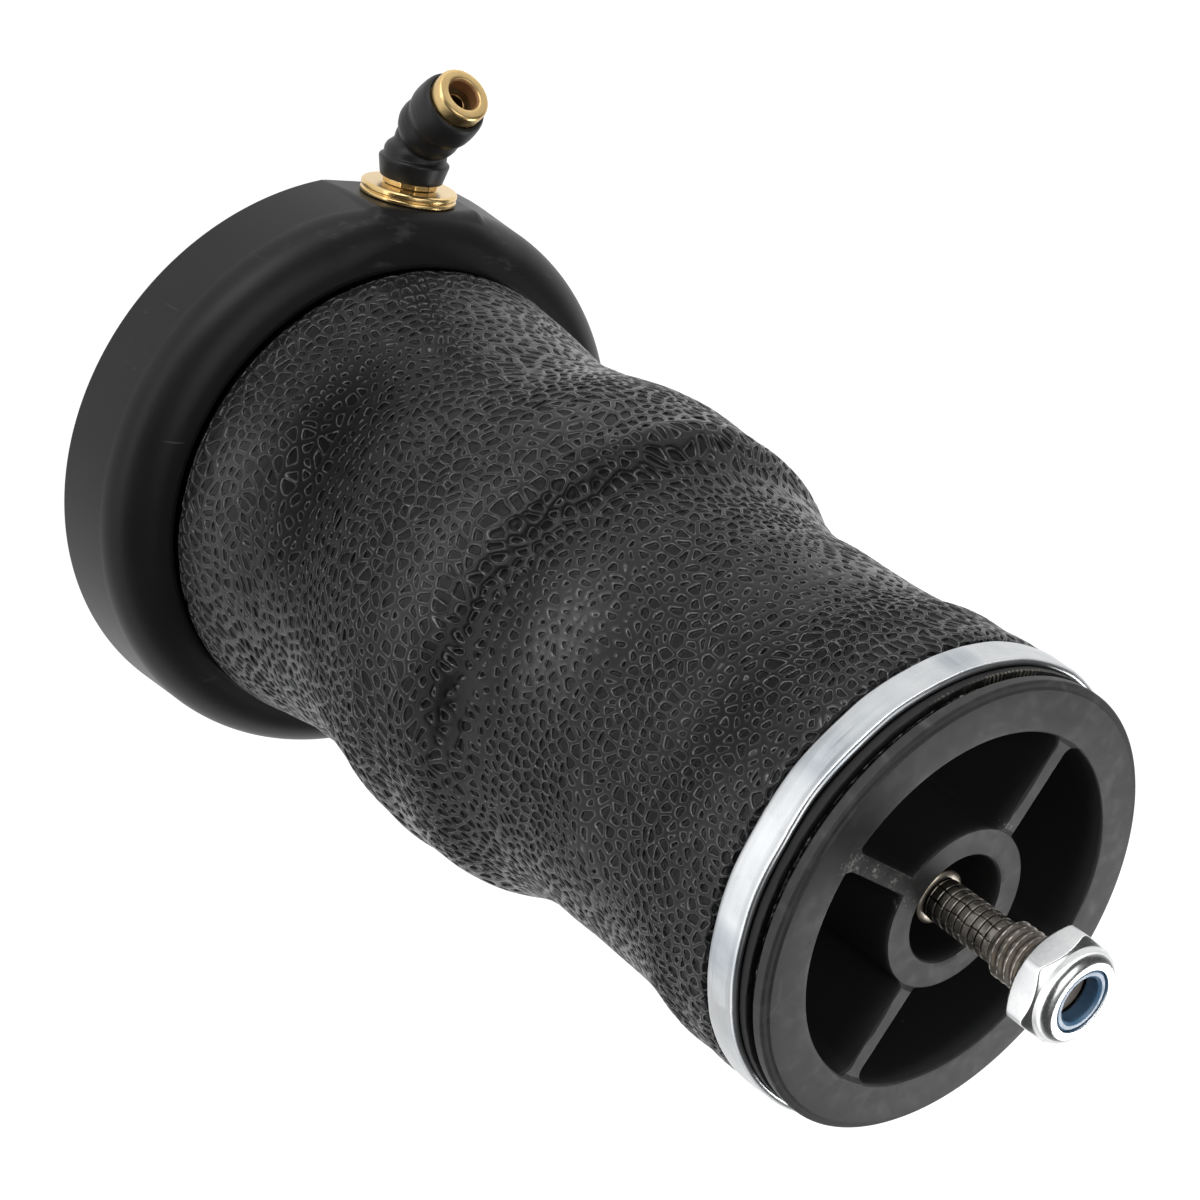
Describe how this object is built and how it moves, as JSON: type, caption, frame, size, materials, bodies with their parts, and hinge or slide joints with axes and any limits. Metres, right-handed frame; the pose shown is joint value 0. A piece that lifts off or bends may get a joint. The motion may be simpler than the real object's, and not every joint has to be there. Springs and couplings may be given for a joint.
{
  "type": "air suspension spring",
  "caption": "Sleeve-type air spring: round end cap with a swivelling push-in air fitting, textured rubber sleeve, crimped stud end with a lock nut.",
  "frame": {"origin": "centre of the large end cap's mounting face", "axes": "+Z along the spring axis from the cap to the stud; +Y along the air port's swivel axis, outwards; +X completes the right-handed frame"},
  "size_m": [0.1258, 0.1528, 0.2222],
  "materials": {
    "cap_plastic": "satin black moulded nylon",
    "inner_plastic": "moulded glass-filled nylon",
    "seal_rubber": "smooth black nitrile",
    "ring_steel": "zinc-plated pressed steel",
    "sleeve_rubber": "black rubber with an embossed pebble pattern",
    "cord_fabric": "cut cord ends",
    "liner_rubber": "smooth black rubber",
    "bump_foam": "microcellular buffer",
    "insert_brass": "turned brass",
    "fitting_brass": "polished turned brass",
    "fitting_plastic": "satin black moulded plastic",
    "clip_steel": "spring steel",
    "white_plastic": "acetal",
    "end_plastic": "dark grey glass-filled nylon",
    "stud_steel": "dull steel",
    "nut_steel": "bright zinc plate",
    "nylon_blue": "blue nylon"
  },
  "bodies": {
    "cap_end": {"end_cap": "cap_plastic", "bead_closure": "inner_plastic", "closure_o_ring": "seal_rubber", "upper_crimp_ring": "ring_steel", "sleeve_cover": "sleeve_rubber", "sleeve_cord_ply": "cord_fabric", "sleeve_liner": "liner_rubber", "bump_stop": "bump_foam", "mounting_inserts": "insert_brass", "port_adapter": "fitting_brass", "port_gasket": "seal_rubber", "swivel_o_ring": "seal_rubber"},
    "stud_end": {"stud_end_piece": "end_plastic", "lower_crimp_ring": "ring_steel", "stud": "stud_steel", "stud_o_ring": "seal_rubber"},
    "nut_carrier": {"lock_nut_insert": "nylon_blue"},
    "nut": {"lock_nut": "nut_steel"},
    "elbow": {"elbow_body": "fitting_plastic", "swivel_clip": "clip_steel", "tube_o_ring": "seal_rubber", "backup_ring": "white_plastic", "grab_ring": "clip_steel", "collet_cartridge": "fitting_brass", "tube_support": "fitting_brass"},
    "collet": {"release_collet": "fitting_brass"}
  },
  "joints": [
    {"name": "stroke", "type": "slide", "parent": "cap_end", "child": "stud_end", "axis": [0, 0, 1], "range_m": [-0.075, 0.01], "stiffness_N_per_m": 2500, "springref_m": 0.001, "deforming": ["sleeve_cover", "sleeve_cord_ply", "sleeve_liner"]},
    {"name": "nut_travel", "type": "slide", "parent": "stud_end", "child": "nut_carrier", "axis": [0, 0, 1], "range_m": [0, 0.003]},
    {"name": "nut_turn", "type": "hinge", "parent": "nut_carrier", "child": "nut", "pos_m": [0, 0, 0.2146], "axis": [0, 0, 1], "range_deg": [0, 727]},
    {"name": "elbow_swivel", "type": "hinge", "parent": "cap_end", "child": "elbow", "pos_m": [0, 0.0732, 0.0105], "axis": [0, 1, 0], "continuous": true},
    {"name": "collet_release", "type": "slide", "parent": "elbow", "child": "collet", "axis": [0, -0.7071, -0.7071], "range_m": [0, 0.0013], "stiffness_N_per_m": 600, "springref_m": -0.0004}
  ],
  "couplings": [
    {"joint": "nut_turn", "follows": "nut_travel", "rad_per_m": 4188.8}
  ]
}
